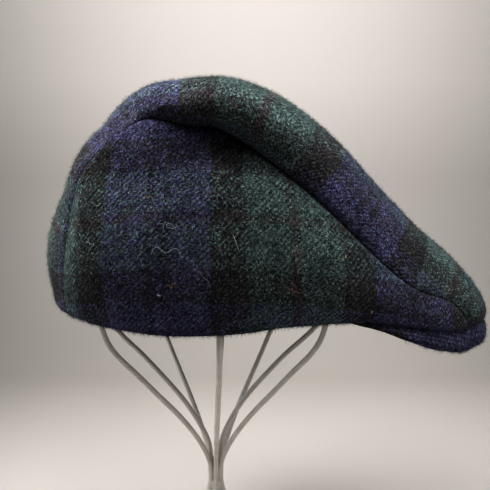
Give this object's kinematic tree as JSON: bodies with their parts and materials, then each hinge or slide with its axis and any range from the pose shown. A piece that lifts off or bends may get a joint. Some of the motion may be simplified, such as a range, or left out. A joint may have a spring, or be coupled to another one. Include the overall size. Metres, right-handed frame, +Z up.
{
  "type": "flat cap on wire hat stand",
  "caption": "Woollen flat cap in dark blue and green tartan twill with a turned-down peak, resting on a welded wire hat stand.",
  "frame": {"origin": "centre of the whole object's bounding box, on the surface that the stand's foot ring rests on", "axes": "+X from the back of the cap to its peak, +Y to the wearer's left, +Z up"},
  "size_m": [0.2824, 0.1742, 0.3535],
  "materials": {
    "tweed": "fuzzy wool twill",
    "peak_tweed": "fuzzy wool twill over a stiff board",
    "coated_wire": "satin"
  },
  "bodies": {
    "root": {"top_panel": "tweed", "side_panel_right": "tweed", "side_panel_left": "tweed", "peak": "peak_tweed", "wire_stand": "coated_wire"}
  },
  "joints": []
}
